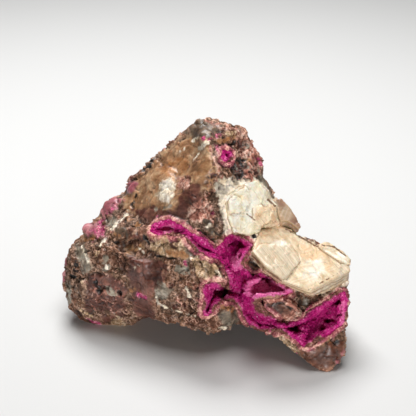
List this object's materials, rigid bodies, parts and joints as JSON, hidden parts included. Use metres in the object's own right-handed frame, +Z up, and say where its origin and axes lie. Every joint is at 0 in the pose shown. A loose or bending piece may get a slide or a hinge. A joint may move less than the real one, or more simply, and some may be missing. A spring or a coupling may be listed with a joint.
{
  "type": "dolomite specimen",
  "caption": "Rough hand-sized rock with cleaved cream calcite on its right shoulder and bright pink dolomite crystals lining its open hollows.",
  "frame": {"origin": "middle of the bounding box, on the level that the stone rests on", "axes": "+X along the stone's longest side, -Y towards the show face with the pink hollows, +Z up"},
  "size_m": [0.089, 0.0642, 0.0654],
  "materials": {
    "matrix": "broken brown dolomite rock, dull, with small glassy crystal faces",
    "pink_druse": "crust of tiny magenta dolomite crystals, sparkling",
    "crown_druse": "crust of tiny magenta dolomite crystals, sparkling",
    "calcite_block": "cleaved cream calcite, pearly, with beige clouds",
    "calcite_shoulder": "cleaved cream calcite, pearly, with beige clouds",
    "calcite_fin": "smooth tan calcite face, satin"
  },
  "bodies": {
    "root": {"matrix": "matrix", "pink_druse": "pink_druse", "crown_druse": "crown_druse", "calcite_block": "calcite_block", "calcite_shoulder": "calcite_shoulder", "calcite_fin": "calcite_fin"}
  },
  "joints": []
}
